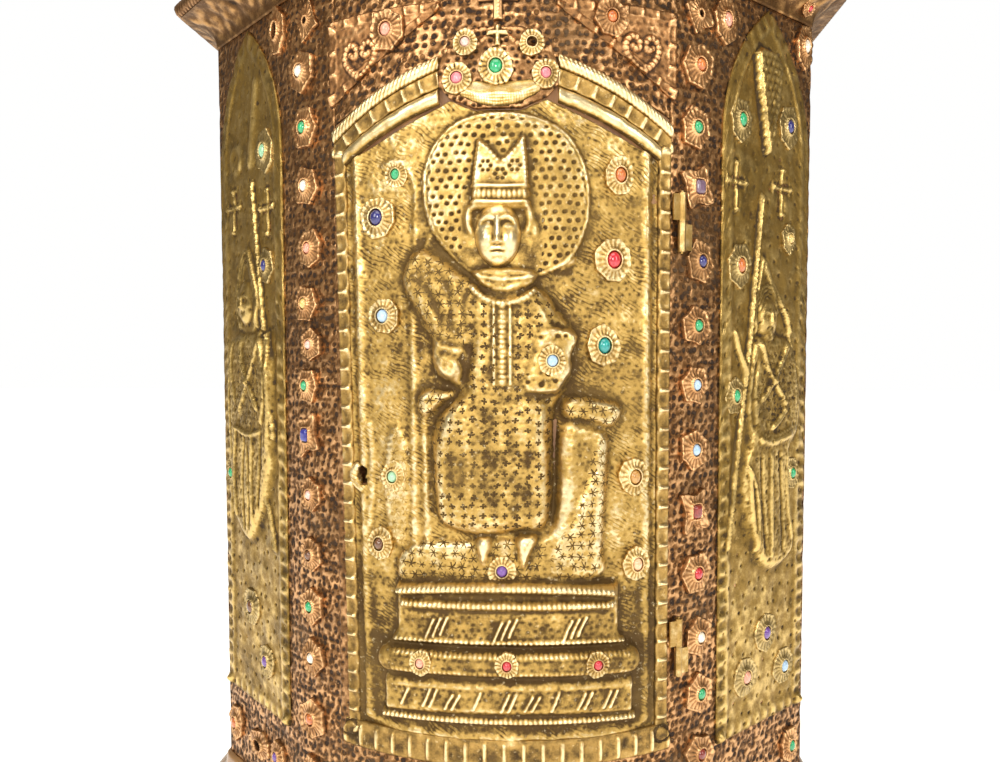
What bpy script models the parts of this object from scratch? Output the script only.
"""Altar tabernacle: a bow-fronted wooden cabinet clad in embossed copper and brass, with a hinged relief door.

Metres, +Z up. The front faces -Y and the origin is at the middle of the underside.
The bow is an arc about a vertical line at (0, ARC_Y). A place on it is given by its run along
the arc from the middle (s, or a from the door's own middle line), its height z and how far it
stands out of the wall. A place on a side facet is given by its run t from the end of the bow.
"""

import math

import bmesh
import bpy
from mathutils import Matrix, Vector

# Overall sizes of the cabinet
BODY_WIDTH = 0.462
WALL_HEIGHT = 0.577
BOW_RADIUS = 0.218
FACET_ANGLE = math.radians(43.0)
BACK_DEPTH = 0.084

# Base, cornice and roof
BASE_HEIGHT = 0.050
BASE_REACH = 0.027
COVE_HEIGHT = 0.021
COVE_REACH = 0.025
FASCIA_HEIGHT = 0.012
FASCIA_REACH = 0.030
CAP_HEIGHT = 0.040
CAP_SETBACK = 0.075

# Thicknesses and clearances
WOOD = 0.012
COPPER = 0.0009
BRASS = 0.0012
BACK_BOARD = 0.008
GAP = 0.0003
DOOR_GAP = 0.0010
PANEL_GAP = 0.0012

# Door, its borders and its gable
DOOR_WIDTH = 0.225
DOOR_OFFSET = 0.0065
DOOR_LIFT = 0.074
DOOR_THICK = 0.011
# Door width at which the places of the relief, the settings, the keyhole and the crest were taken
DRAWN_WIDTH = 0.225
CELL_SPRING = 0.394
GABLE_SLOPE = 0.443
COIN_WIDTH = 0.009
CELL_WIDTH = 0.0104
ROLL_WIDTH = 0.0096
ROPE_WIDTH = 0.0091
LEAF_TOP = 0.432
STRIP_THICK = 0.0027
ROLL_THICK = 0.0042

# Crest at the top of the door: heights above the door's bottom edge and half widths there
CREST_OUTLINE = ((0.409, 0.014), (0.416, 0.030), (0.423, 0.036), (0.436, 0.035), (0.442, 0.033), (0.450, 0.030),
                 (0.457, 0.014))
CREST_THICK = 0.0055
CREST_CROSS_HEIGHT = 0.444

# Keyhole in the door's left margin, above the door's bottom edge
KEYHOLE_RUN = -0.0915
KEYHOLE_HEIGHT = 0.184
KEYHOLE_RADIUS = 0.0037
KEYHOLE_SLOT = 0.0050
KEYHOLE_DROP = 0.0085

# Hinges on the door's right: the barrel's own sizes and the heights of the two barrels' lower ends
HINGE_OFFSET = 0.008
HINGE_PROUD = 0.0034
BARREL_RADIUS = 0.0026
BARREL_HEIGHT = 0.038
PIN_RADIUS = 0.00105
PIN_CLEARANCE = 0.00010
HINGE_HEIGHTS = {"upper": 0.325, "lower": 0.048}
HINGE_TAB = 0.0012

# Bezels on the door: run from the door's middle line, height above its bottom edge, width, height
DOOR_BEZELS = {
    "left_1": (-0.078, 0.346, 0.024, 0.026),
    "left_2": (-0.074, 0.284, 0.021, 0.022),
    "left_3": (-0.068, 0.182, 0.017, 0.019),
    "left_4": (-0.078, 0.138, 0.018, 0.021),
    "right_1": (0.075, 0.370, 0.019, 0.023),
    "right_2": (0.071, 0.318, 0.023, 0.027),
    "right_3": (0.065, 0.265, 0.021, 0.025),
    "right_4": (0.086, 0.182, 0.020, 0.024),
    "right_5": (0.088, 0.126, 0.018, 0.022),
}
BEZEL_THICK = 0.0055
STONE_SHARE = 0.44
STONE_THICK = 0.0075

# Spandrel sheets over the door: inner and outer run from the door's middle line, heights above its bottom edge
SPANDREL_INNER = 0.035
SPANDREL_OUTER = 0.117
SPANDREL_TOP = 0.475
SPANDREL_LOW = 0.419
SPANDREL_TIP = 0.471

# Copper cross over the crest, heights above the door's bottom edge
CROSS_FOOT = 0.461
CROSS_HEIGHT = 0.026
CROSS_ARM_HEIGHT = 0.0145
CROSS_SPAN = 0.024
CROSS_BAR = 0.006

# Relief panels on the side facets
PANEL_MARGIN = 0.004
PANEL_LIFT = 0.062
PANEL_SPRING = 0.499
PANEL_RISE = 0.073
PANEL_FIGURE_HEIGHT = 0.200

BOW_STEPS = 28
ARC_Y = (BOW_RADIUS + FASCIA_REACH - BACK_DEPTH) / 2
BACK_Y = ARC_Y + BACK_DEPTH
WALL_TOP = BASE_HEIGHT + WALL_HEIGHT
DOOR_BOTTOM = BASE_HEIGHT + DOOR_LIFT
DOOR_HALF = DOOR_WIDTH / 2
CASE_FACE = -COPPER - GAP
FACET_RUN = (BODY_WIDTH / 2 - BOW_RADIUS * math.sin(FACET_ANGLE)) / math.cos(FACET_ANGLE)
CREST_HALF = max(half for height, half in CREST_OUTLINE)
# How far places across the door move out, and the gable's top moves up, with a wider door
SPREAD = DOOR_WIDTH / DRAWN_WIDTH
GABLE_LIFT = GABLE_SLOPE * (DOOR_WIDTH - DRAWN_WIDTH) / 2

COPPER_COLOUR = (0.42, 0.20, 0.10)
DARK_COPPER_COLOUR = (0.16, 0.085, 0.05)
BRASS_COLOUR = (0.62, 0.44, 0.16)
OLIVE_BRASS_COLOUR = (0.40, 0.30, 0.12)
WOOD_COLOUR = (0.20, 0.115, 0.06)
STONE_COLOURS = {
    "left_1": (0.05, 0.05, 0.22),
    "left_2": (0.55, 0.68, 0.82),
    "left_3": (0.45, 0.80, 0.55),
    "left_4": (0.30, 0.16, 0.08),
    "right_1": (0.80, 0.18, 0.05),
    "right_2": (0.75, 0.05, 0.05),
    "right_3": (0.05, 0.50, 0.45),
    "right_4": (0.85, 0.50, 0.12),
    "right_5": (0.90, 0.62, 0.42),
}


def clear_scene():
    for item in list(bpy.data.objects):
        bpy.data.objects.remove(item, do_unlink=True)


def new_collection(name):
    made = bpy.data.collections.new(name)
    bpy.context.scene.collection.children.link(made)
    return made


def material(name, colour, metallic, roughness):
    made = bpy.data.materials.new(name)
    made.use_nodes = True
    shader = made.node_tree.nodes["Principled BSDF"]
    shader.inputs["Base Color"].default_value = (*colour, 1.0)
    shader.inputs["Metallic"].default_value = metallic
    shader.inputs["Roughness"].default_value = roughness
    return made


def copper(name):
    return material(name + "_copper", COPPER_COLOUR, 1.0, 0.42)


def brass(name):
    return material(name + "_brass", BRASS_COLOUR, 1.0, 0.35)


def wood(name):
    return material(name + "_wood", WOOD_COLOUR, 0.0, 0.55)


def add_object(name, mesh_builder, finish, home, smooth=False):
    """Writes a bmesh into a named object with its normals pointing out."""
    bmesh.ops.recalc_face_normals(mesh_builder, faces=mesh_builder.faces[:])
    mesh = bpy.data.meshes.new(name)
    mesh_builder.to_mesh(mesh)
    mesh_builder.free()
    if smooth:
        mesh.shade_smooth()
        mesh.set_sharp_from_angle(angle=math.radians(40))
    made = bpy.data.objects.new(name, mesh)
    made.data.materials.append(finish)
    home.objects.link(made)
    return made


def bow_point(run, height, out):
    """The point at this run along the bow, this height and this far out of the wall."""
    turn = run / BOW_RADIUS
    radius = BOW_RADIUS + out
    return Vector((radius * math.sin(turn), ARC_Y - radius * math.cos(turn), height))


def bow_frame(run, height, out):
    """Axes for a piece on the bow: X along it to the right, Y up and Z out of the wall."""
    turn = run / BOW_RADIUS
    along = Vector((math.cos(turn), math.sin(turn), 0.0))
    up = Vector((0.0, 0.0, 1.0))
    frame = Matrix((along, up, along.cross(up))).transposed().to_4x4()
    frame.translation = bow_point(run, height, out)
    return frame


def facet_point(side, run, height, out):
    """A point on the left (-1) or right (1) facet, at this run from the end of the bow."""
    sine, cosine = math.sin(FACET_ANGLE), math.cos(FACET_ANGLE)
    x = BOW_RADIUS * sine + run * cosine + out * sine
    y = ARC_Y - BOW_RADIUS * cosine + run * sine - out * cosine
    return Vector((side * x, y, height))


def plan(offset):
    """The walls' outline from above, moved out by offset, from the back left to the back right."""
    radius = BOW_RADIUS + offset
    half = BODY_WIDTH / 2 + offset
    turns = [FACET_ANGLE * (2 * i / BOW_STEPS - 1) for i in range(BOW_STEPS + 1)]
    arc = [(radius * math.sin(turn), ARC_Y - radius * math.cos(turn)) for turn in turns]
    end_x, end_y = arc[-1]
    corner_y = end_y + (half - end_x) * math.tan(FACET_ANGLE)
    return [(-half, BACK_Y), (-half, corner_y), *arc, (half, corner_y), (half, BACK_Y)]


def prism(outline, low, high):
    """A flat outline raised into a solid."""
    builder = bmesh.new()
    face = builder.faces.new([builder.verts.new((x, y, low)) for x, y in outline])
    grown = bmesh.ops.extrude_face_region(builder, geom=[face])["geom"]
    top = [item for item in grown if isinstance(item, bmesh.types.BMVert)]
    bmesh.ops.translate(builder, verts=top, vec=(0.0, 0.0, high - low))
    return builder


def moulding(profile):
    """A solid whose outline follows the plan, at the offsets and heights of the profile."""
    builder = bmesh.new()
    rings = [[builder.verts.new((x, y, height)) for x, y in plan(offset)] for offset, height in profile]
    for low, high in zip(rings, rings[1:]):
        for i in range(len(low)):
            j = (i + 1) % len(low)
            builder.faces.new((low[i], low[j], high[j], high[i]))
    builder.faces.new(list(reversed(rings[0])))
    builder.faces.new(rings[-1])
    return builder


def plate(columns, rows, front, back):
    """A bent plate: front(u, v) and back(u, v) place its two faces, with u and v from 0 to 1."""
    builder = bmesh.new()
    bmesh.ops.create_grid(builder, x_segments=columns, y_segments=rows, size=0.5)
    grown = bmesh.ops.extrude_face_region(builder, geom=builder.faces[:])["geom"]
    raised = {item for item in grown if isinstance(item, bmesh.types.BMVert)}
    for vert in builder.verts:
        place = front if vert in raised else back
        vert.co = place(vert.co.x + 0.5, vert.co.y + 0.5)
    return builder


def relief(columns, rows, front, back):
    """A carved plate: a fine grid in front, and one row of faces behind and round the edge."""
    builder = bmesh.new()
    bmesh.ops.create_grid(builder, x_segments=columns, y_segments=rows, size=0.5)
    grid = {}
    for vert in builder.verts:
        u, v = vert.co.x + 0.5, vert.co.y + 0.5
        grid[round(u * columns), round(v * rows)] = vert
        vert.co = front(u, v)
    low = [builder.verts.new(back(i / columns, 0.0)) for i in range(columns + 1)]
    high = [builder.verts.new(back(i / columns, 1.0)) for i in range(columns + 1)]
    for i in range(columns):
        builder.faces.new((grid[i, 0], grid[i + 1, 0], low[i + 1], low[i]))
        builder.faces.new((grid[i, rows], high[i], high[i + 1], grid[i + 1, rows]))
        builder.faces.new((low[i], low[i + 1], high[i + 1], high[i]))
    for i in (0, columns):
        builder.faces.new([grid[i, j] for j in range(rows + 1)] + [high[i], low[i]])
    return builder


def ring(profile, segments, half_width, half_height, corners=0):
    """A closed ring about Z, from a closed profile of (share of the half width, height)."""
    builder = bmesh.new()
    loops = []
    for share, height in profile:
        loop = []
        for i in range(segments):
            turn = math.tau * i / segments
            cut = 1.0
            if corners:
                side = math.tau / corners
                cut = math.cos(side / 2) / math.cos(turn % side - side / 2)
            reach = share * cut
            loop.append(builder.verts.new((half_width * reach * math.cos(turn),
                                           half_height * reach * math.sin(turn), height)))
        loops.append(loop)
    for inner, outer in zip(loops, loops[1:] + loops[:1]):
        for i in range(segments):
            j = (i + 1) % segments
            builder.faces.new((inner[i], inner[j], outer[j], outer[i]))
    return builder


def dome(x, z, middle_x, middle_z, half_width, half_height):
    """How high an ellipsoid of this outline stands at (x, z), from 0 at its edge to 1."""
    away = ((x - middle_x) / half_width) ** 2 + ((z - middle_z) / half_height) ** 2
    return math.sqrt(max(0.0, 1.0 - away))


def band(x, z, middle_x, half_width, low, high):
    """1 inside an upright rectangle and 0 outside it."""
    return float(abs(x - middle_x) < half_width and low < z < high)


def cell_line(a):
    """Height of the middle of the gable's cell border, above the door's bottom edge."""
    return CELL_SPRING + GABLE_SLOPE * (DOOR_HALF - abs(a))


def crest_low(a):
    """Height of the crest's lower edge at this run from the middle, above the door's bottom edge."""
    for (low, narrow), (high, wide) in zip(CREST_OUTLINE, CREST_OUTLINE[1:]):
        if abs(a) <= narrow:
            return GABLE_LIFT + low
        if abs(a) <= wide:
            return GABLE_LIFT + low + (high - low) * (abs(a) - narrow) / (wide - narrow)
    return math.inf


def panel_top(a):
    """Height of the relief panel's upper edge, under the roll moulding and the crest."""
    under_roll = cell_line(a) - CELL_WIDTH / 2 - GAP - ROLL_WIDTH - PANEL_GAP
    return min(under_roll, crest_low(a) - PANEL_GAP)


def door_point(a, height, out):
    """A point on the bow, from the door's middle line and its bottom edge."""
    return bow_point(DOOR_OFFSET + a, DOOR_BOTTOM + height, out)


def figure_height(a, height):
    """How far the seated figure, its halo, seat and pedestal stand out of the door panel."""
    layers = [
        0.0028 * (dome(a, height, 0.004, 0.356, 0.052, 0.052) > 0),
        0.0105 * dome(a, height, 0.001, 0.374, 0.019, 0.034) ** 0.5,
        0.0135 * dome(a, height, 0.001, 0.328, 0.017, 0.024) ** 0.5,
        0.0100 * dome(a, height, 0.001, 0.270, 0.046, 0.045) ** 0.5,
        0.0110 * dome(a, height, -0.040, 0.262, 0.016, 0.036) ** 0.5,
        0.0100 * dome(a, height, 0.036, 0.262, 0.011, 0.036) ** 0.5,
        0.0125 * dome(a, height, -0.004, 0.200, 0.042, 0.084) ** 0.4,
        0.0145 * dome(a, height, -0.022, 0.218, 0.019, 0.034),
        0.0145 * dome(a, height, 0.015, 0.218, 0.019, 0.034),
        0.0060 * band(a, height, 0.052, 0.021, 0.116, 0.232),
        0.0050 * band(a, height, -0.048, 0.008, 0.116, 0.232),
        0.0100 * band(a, height, 0.003, 0.068, 0.098, 0.115),
        0.0070 * band(a, height, 0.005, 0.071, 0.073, 0.098),
        0.0135 * band(a, height, 0.005, 0.083, 0.000, 1.000) * dome(0, height, 0, 0.062, 1, 0.012),
        0.0100 * band(a, height, 0.005, 0.085, 0.026, 0.048),
    ]
    return max(layers)


def side_figure_height(across, height):
    """The standing figure, its ray and its lance on a side panel, from the panel's middle line."""
    layers = [
        0.0080 * dome(across, height, 0.008, 0.250, 0.026, 0.110) ** 0.5,
        0.0090 * dome(across, height, 0.010, 0.372, 0.014, 0.020),
        0.0055 * dome(across, height, 0.000, 0.520, 0.010, 0.045) ** 0.5,
        0.0030 * dome(across, height, -0.018, 0.390, 0.007, 0.075) ** 0.5,
    ]
    return max(layers)


def lancet(across, half):
    """Height of a pointed arch over its springing."""
    radius = (PANEL_RISE ** 2 + half ** 2) / (2 * half)
    return math.sqrt(max(0.0, radius ** 2 - (abs(across) + radius - half) ** 2))


def cut(piece, cutter, operation="DIFFERENCE"):
    change = piece.modifiers.new(cutter.name, "BOOLEAN")
    change.operation = operation
    change.object = cutter


def make_cutter(name, builder, home):
    made = add_object(name, builder, material(name + "_guide", (0.8, 0.1, 0.1), 0.0, 0.5), home)
    made.hide_render = True
    made.display_type = "WIRE"
    return made


def leaf_top(a):
    return min(cell_line(a) + CELL_WIDTH / 2 + GAP + ROPE_WIDTH, LEAF_TOP + GABLE_LIFT)


def bow_block(columns, low, high, inner, outer, grow=0.0):
    """A block on the bow as wide as the door, grown all round by a clearance."""
    half = DOOR_HALF + grow

    def face(out):
        def place(u, v):
            a = (2 * u - 1) * half
            return door_point(a, low - grow + v * (high(a) - low + 2 * grow), out)
        return place
    return plate(columns, 1, face(outer), face(inner))


def make_case(parts, cutters):
    """The wooden body: floor, walls and top board, open at the back and at the door."""
    case = add_object("case", prism(plan(CASE_FACE), BASE_HEIGHT + GAP, WALL_TOP), wood("case"), parts)
    inner = plan(CASE_FACE - WOOD)
    behind = [(x, y + (y == BACK_Y) * WOOD) for x, y in inner]
    room = make_cutter("room", prism(behind, BASE_HEIGHT + GAP + WOOD, WALL_TOP - WOOD), cutters)
    doorway = make_cutter("doorway", bow_block(24, 0.0, leaf_top, -3 * WOOD, 2 * WOOD, DOOR_GAP), cutters)
    cut(case, room)
    cut(case, doorway)
    half = BODY_WIDTH / 2 + CASE_FACE - WOOD - GAP
    board = [(-half, BACK_Y - BACK_BOARD), (half, BACK_Y - BACK_BOARD), (half, BACK_Y), (-half, BACK_Y)]
    floor = BASE_HEIGHT + GAP + WOOD + GAP
    add_object("back_board", prism(board, floor, WALL_TOP - WOOD - GAP), wood("back_board"), parts)
    return doorway


def make_cladding(parts, doorway):
    """The copper sheet that wraps the facets, the bow and the sides, with the door's opening."""
    inside, outside = plan(-COPPER), plan(0.0)
    low, high = BASE_HEIGHT + GAP, WALL_TOP - GAP
    last = len(outside) - 1

    def face(outline):
        def place(u, v):
            x, y = outline[round(u * last)]
            return Vector((x, y, low + v * (high - low)))
        return place
    sheet = add_object("copper_cladding", plate(last, 1, face(outside), face(inside)),
                       copper("cladding"), parts)
    cut(sheet, doorway)


def make_base(parts):
    reach = BASE_REACH
    top = BASE_HEIGHT
    hollow = [(reach * (1 - math.sin(turn)) + 0.004, top * (0.48 + 0.44 * (1 - math.cos(turn))))
              for turn in (math.radians(15 * i) for i in range(1, 7))]
    profile = [(reach, 0.0), (reach, top * 0.40), (reach - 0.002, top * 0.46), *hollow,
               (0.004, top)]
    add_object("base_moulding", moulding(profile), wood("base"), parts, smooth=True)


def make_cornice(parts):
    cove_low = WALL_TOP + GAP
    cove_high = WALL_TOP + COVE_HEIGHT
    cove = [(COVE_REACH * (1 - math.cos(turn)) + 0.001,
             cove_low + (cove_high - cove_low) * math.sin(turn))
            for turn in (math.radians(15 * i) for i in range(7))]
    dark = material("cornice_copper", DARK_COPPER_COLOUR, 1.0, 0.45)
    add_object("cornice_cove", moulding(cove), dark, parts, smooth=True)
    low = cove_high + GAP
    inset = FASCIA_REACH - FASCIA_HEIGHT / 2
    fascia = [(inset + FASCIA_HEIGHT / 2 * math.sin(turn), low + FASCIA_HEIGHT / 2 * (1 - math.cos(turn)))
              for turn in (math.radians(30 * i) for i in range(7))]
    add_object("cornice_fascia", moulding(fascia), copper("fascia"), parts, smooth=True)
    low += FASCIA_HEIGHT + GAP
    cap = [(inset - 0.004, low), (inset - 0.006, low + CAP_HEIGHT * 0.2), (-CAP_SETBACK, low + CAP_HEIGHT)]
    add_object("roof_cap", moulding(cap), copper("roof"), parts)


def make_side_panel(side, name, parts):
    """An embossed brass sheet with a pointed top on one side facet."""
    half = FACET_RUN / 2 - PANEL_MARGIN
    low = BASE_HEIGHT + PANEL_LIFT

    def across(u):
        return -half * math.cos(math.pi * u)

    def top(x):
        return BASE_HEIGHT + PANEL_SPRING + lancet(x, half)

    def front(u, v):
        x = across(u)
        height = low + v * (top(x) - low)
        swell = side_figure_height(x, height - low) if 0 < v < 1 and 0 < u < 1 else 0.0
        return facet_point(side, FACET_RUN / 2 + x, height, GAP + BRASS + swell)

    def back(u, v):
        x = across(u)
        return facet_point(side, FACET_RUN / 2 + x, low + v * (top(x) - low), GAP)
    finish = material(name + "_brass", OLIVE_BRASS_COLOUR, 1.0, 0.40)
    add_object(name, relief(12, 32, front, back), finish, parts, smooth=True)


def make_spandrel(side, name, parts):
    """A triangular copper sheet over one half of the door's gable."""
    def edge(u, v, out):
        a = SPREAD * (SPANDREL_INNER + u * (SPANDREL_OUTER - SPANDREL_INNER))
        low = SPANDREL_TIP + u * (SPANDREL_LOW - SPANDREL_TIP)
        return door_point(side * a, GABLE_LIFT + low + v * (SPANDREL_TOP - low), out)
    builder = plate(8, 1, lambda u, v: edge(u, v, GAP + 0.0016), lambda u, v: edge(u, v, GAP))
    add_object(name, builder, copper(name), parts)


def cross_prism(span, height, arm, bar, thick):
    """An upright cross standing on its foot, from its outline."""
    half, wide = bar / 2, span / 2
    outline = [(-half, 0), (half, 0), (half, arm - half), (wide, arm - half), (wide, arm + half),
               (half, arm + half), (half, height), (-half, height), (-half, arm + half),
               (-wide, arm + half), (-wide, arm - half), (-half, arm - half)]
    return prism(outline, 0.0, thick)


def make_crosses(parts, on_door):
    sagitta = CROSS_SPAN ** 2 / (8 * BOW_RADIUS)
    big = add_object("copper_cross", cross_prism(CROSS_SPAN, CROSS_HEIGHT, CROSS_ARM_HEIGHT, CROSS_BAR, 0.0022),
                     copper("cross"), parts)
    big.matrix_world = bow_frame(DOOR_OFFSET, DOOR_BOTTOM + CROSS_FOOT + GABLE_LIFT, GAP + sagitta)
    small = add_object("crest_cross", cross_prism(0.013, 0.013, 0.008, 0.0035, 0.0018), brass("crest_cross"), parts)
    middle = DOOR_BOTTOM + CREST_CROSS_HEIGHT + GABLE_LIFT
    small.matrix_world = bow_frame(DOOR_OFFSET, middle, CREST_THICK + 3 * GAP)
    on_door.append(small)


def keyhole_cutter(cutters):
    """A round hole with a slot below it, cut straight through from front to back."""
    turns = [math.radians(30 * i - 60) for i in range(11)]
    head = [(KEYHOLE_RADIUS * math.cos(turn), KEYHOLE_RADIUS * math.sin(turn)) for turn in turns]
    half = KEYHOLE_SLOT / 2
    rise = -math.sqrt(KEYHOLE_RADIUS ** 2 - half ** 2)
    head = [point for point in head if point[1] > rise]
    outline = [(-half, -KEYHOLE_DROP), (half, -KEYHOLE_DROP), (half, rise), *head, (-half, rise)]
    made = make_cutter("keyhole", prism(outline, -0.03, 0.03), cutters)
    centre = door_point(KEYHOLE_RUN * SPREAD, KEYHOLE_HEIGHT, 0.0)
    made.matrix_world = Matrix.Translation(centre) @ Matrix.Rotation(math.radians(90), 4, "X")
    return made


def make_door(parts, cutters, on_door):
    """The wooden leaf, the relief panel on it and the borders round the panel."""
    keyhole = keyhole_cutter(cutters)
    leaf = add_object("door_leaf", bow_block(24, 0.0, leaf_top, -DOOR_THICK, 0.0), wood("door_leaf"), parts)
    cut(leaf, keyhole)
    half = DOOR_HALF - COIN_WIDTH - GAP
    drawn_half = DRAWN_WIDTH / 2 - COIN_WIDTH - GAP
    low = COIN_WIDTH + GAP

    def front(u, v):
        a = (2 * u - 1) * half
        height = low + v * (panel_top(a) - low)
        swell = figure_height((2 * u - 1) * drawn_half, height) if 0 < v < 1 and 0 < u < 1 else 0.0
        return door_point(a, height, GAP + BRASS + swell)

    def back(u, v):
        a = (2 * u - 1) * half
        return door_point(a, low + v * (panel_top(a) - low), GAP)
    panel = add_object("door_relief", relief(28, 52, front, back), brass("door_relief"), parts, smooth=True)
    cut(panel, keyhole)
    on_door += [leaf, panel]

    def strip(name, columns, rows, low_a, high_a, low_z, high_z, thick, round_over=0.0):
        def face(out, swell):
            def place(u, v):
                a = low_a + u * (high_a - low_a)
                bulge = swell * math.sin(math.pi * v)
                return door_point(a, low_z(a) + v * (high_z(a) - low_z(a)), out + bulge)
            return place
        builder = plate(columns, rows, face(GAP + thick, round_over), face(GAP, 0.0))
        on_door.append(add_object(name, builder, brass(name), parts, smooth=rows > 1))

    def gable_line(shift):
        return lambda a: cell_line(a) + shift
    cells = CELL_WIDTH / 2
    for side, word in ((-1, "left"), (1, "right")):
        outer, inner = side * DOOR_HALF, side * (DOOR_HALF - COIN_WIDTH)
        low_a, high_a = min(outer, inner), max(outer, inner)
        strip("coin_border_" + word, 1, 1, low_a, high_a, lambda a: COIN_WIDTH + GAP,
              gable_line(-cells - GAP), STRIP_THICK)
        tip = side * (CREST_HALF + GAP)
        low_a, high_a = min(outer, tip), max(outer, tip)
        strip("gable_cells_" + word, 8, 1, low_a, high_a, gable_line(-cells), gable_line(cells), STRIP_THICK)
        strip("gable_rope_" + word, 8, 4, low_a, high_a, gable_line(cells + GAP),
              gable_line(cells + GAP + ROPE_WIDTH), STRIP_THICK * 0.4, STRIP_THICK)
        low_a, high_a = min(inner - side * GAP, tip), max(inner - side * GAP, tip)
        strip("gable_roll_" + word, 8, 4, low_a, high_a, gable_line(-cells - GAP - ROLL_WIDTH),
              gable_line(-cells - GAP), STRIP_THICK * 0.4, ROLL_THICK)
    strip("coin_border_bottom", 24, 1, -DOOR_HALF, DOOR_HALF, lambda a: 0.0, lambda a: COIN_WIDTH, STRIP_THICK)


def make_crest(parts, on_door):
    """The domed plate at the top of the gable that carries the crest's stones."""
    last = len(CREST_OUTLINE) - 1

    def face(out, swell):
        def place(u, v):
            height, half = CREST_OUTLINE[round(v * last)]
            bulge = swell * math.sin(math.pi * u) * math.sin(math.pi * v)
            return door_point((2 * u - 1) * half, height + GABLE_LIFT, out + bulge)
        return place
    builder = plate(8, last, face(GAP + CREST_THICK * 0.7, CREST_THICK * 0.3), face(GAP, 0.0))
    on_door.append(add_object("crest", builder, brass("crest"), parts, smooth=True))


def make_bezels(parts, on_door):
    """An eight-sided setting and its domed stone at each place on the door panel."""
    for word, (a, height, wide, tall) in DOOR_BEZELS.items():
        top = BEZEL_THICK
        hole = STONE_SHARE + 2 * GAP / wide
        profile = [(1.0, 0.0), (0.97, top * 0.35), (hole + 0.12, top), (hole, top), (hole, 0.0)]
        builder = ring(profile, 16, wide / 2, tall / 2, 8)
        bezel = add_object("bezel_" + word, builder, brass("bezel_" + word), parts)
        # The inner edge keeps its place beside the figure when the door's width changes
        run = a * SPREAD + math.copysign(wide / 2, a) * (1 - SPREAD)
        seat = bow_frame(DOOR_OFFSET + run, DOOR_BOTTOM + height, BRASS + 3 * GAP)
        bezel.matrix_world = seat
        stone = add_object("stone_" + word, cabochon(wide * STONE_SHARE / 2, tall * STONE_SHARE / 2),
                           material("stone_" + word, STONE_COLOURS[word], 0.0, 0.08), parts, smooth=True)
        stone.matrix_world = seat
        on_door += [bezel, stone]


def cabochon(half_width, half_height):
    """A flat-backed domed stone with an eight-sided foot that clears its setting."""
    builder = bmesh.new()
    bmesh.ops.create_uvsphere(builder, u_segments=12, v_segments=8, radius=1.0)
    geometry = builder.verts[:] + builder.edges[:] + builder.faces[:]
    sliced = bmesh.ops.bisect_plane(builder, geom=geometry, plane_co=(0, 0, 0), plane_no=(0, 0, -1),
                                    clear_outer=True)
    rim = [item for item in sliced["geom_cut"] if isinstance(item, bmesh.types.BMEdge)]
    bmesh.ops.contextual_create(builder, geom=rim)
    reach = math.cos(math.pi / 8)
    bmesh.ops.scale(builder, vec=(half_width * reach, half_height * reach, STONE_THICK), verts=builder.verts[:])
    return builder


def make_hinges(parts, cutters, on_door):
    """Two barrels: the lower knuckle of each on the wall, the upper one on the door, and a pin."""
    run = DOOR_OFFSET + DOOR_HALF + HINGE_OFFSET
    bore = (PIN_RADIUS + PIN_CLEARANCE) / BARREL_RADIUS
    knuckle_height = BARREL_HEIGHT / 2 - GAP
    axis_frame = bow_frame(run, 0.0, HINGE_PROUD)
    upright = Matrix.Rotation(math.radians(-90), 4, "X")
    for word, height in HINGE_HEIGHTS.items():
        low = DOOR_BOTTOM + height
        for leaf, side, lift in (("case", 1, 0.0), ("door", -1, BARREL_HEIGHT / 2)):
            profile = [(1.0, 0.0), (1.0, knuckle_height), (bore, knuckle_height), (bore, 0.0)]
            barrel = add_object("hinge_" + word + "_" + leaf, ring(profile, 16, BARREL_RADIUS, BARREL_RADIUS),
                                brass("hinge_" + word + "_" + leaf), parts, smooth=True)
            start = side * (PIN_RADIUS + 0.0005)
            end = side * (HINGE_OFFSET - GAP)
            outline = [(min(start, end), -HINGE_TAB), (max(start, end), -HINGE_TAB),
                       (max(start, end), 0.0), (min(start, end), 0.0)]
            tab = make_cutter("tab_" + word + "_" + leaf, prism(outline, 0.001, knuckle_height - 0.001), cutters)
            seat = axis_frame @ Matrix.Translation((0.0, low + lift, 0.0)) @ upright
            barrel.matrix_world = seat
            tab.matrix_world = seat
            cut(barrel, tab, "UNION")
            if leaf == "door":
                on_door.append(barrel)
        pin_builder = bmesh.new()
        bmesh.ops.create_cone(pin_builder, cap_ends=True, segments=16, radius1=PIN_RADIUS, radius2=PIN_RADIUS,
                              depth=BARREL_HEIGHT + 0.002)
        pin = add_object("hinge_" + word + "_pin", pin_builder, brass("hinge_" + word + "_pin"), parts, smooth=True)
        pin.matrix_world = axis_frame @ Matrix.Translation((0.0, low + BARREL_HEIGHT / 2 - GAP / 2, 0.0)) @ upright
    return axis_frame.translation


def hang_on_axis(pieces, place, home):
    """Parents the door's pieces to an empty on the hinge axis, without moving them."""
    axis = bpy.data.objects.new("door_axis", None)
    home.objects.link(axis)
    axis.location = place
    bpy.context.view_layer.update()
    for piece in pieces:
        piece.parent = axis
        piece.matrix_parent_inverse = axis.matrix_world.inverted()


def main():
    clear_scene()
    parts = new_collection("altar_tabernacle")
    cutters = new_collection("cutters")
    on_door = []
    make_base(parts)
    doorway = make_case(parts, cutters)
    make_cladding(parts, doorway)
    make_cornice(parts)
    make_side_panel(-1, "side_panel_left", parts)
    make_side_panel(1, "side_panel_right", parts)
    make_spandrel(-1, "spandrel_left", parts)
    make_spandrel(1, "spandrel_right", parts)
    make_door(parts, cutters, on_door)
    make_crest(parts, on_door)
    make_crosses(parts, on_door)
    make_bezels(parts, on_door)
    place = make_hinges(parts, cutters, on_door)
    hang_on_axis(on_door, place, parts)


main()
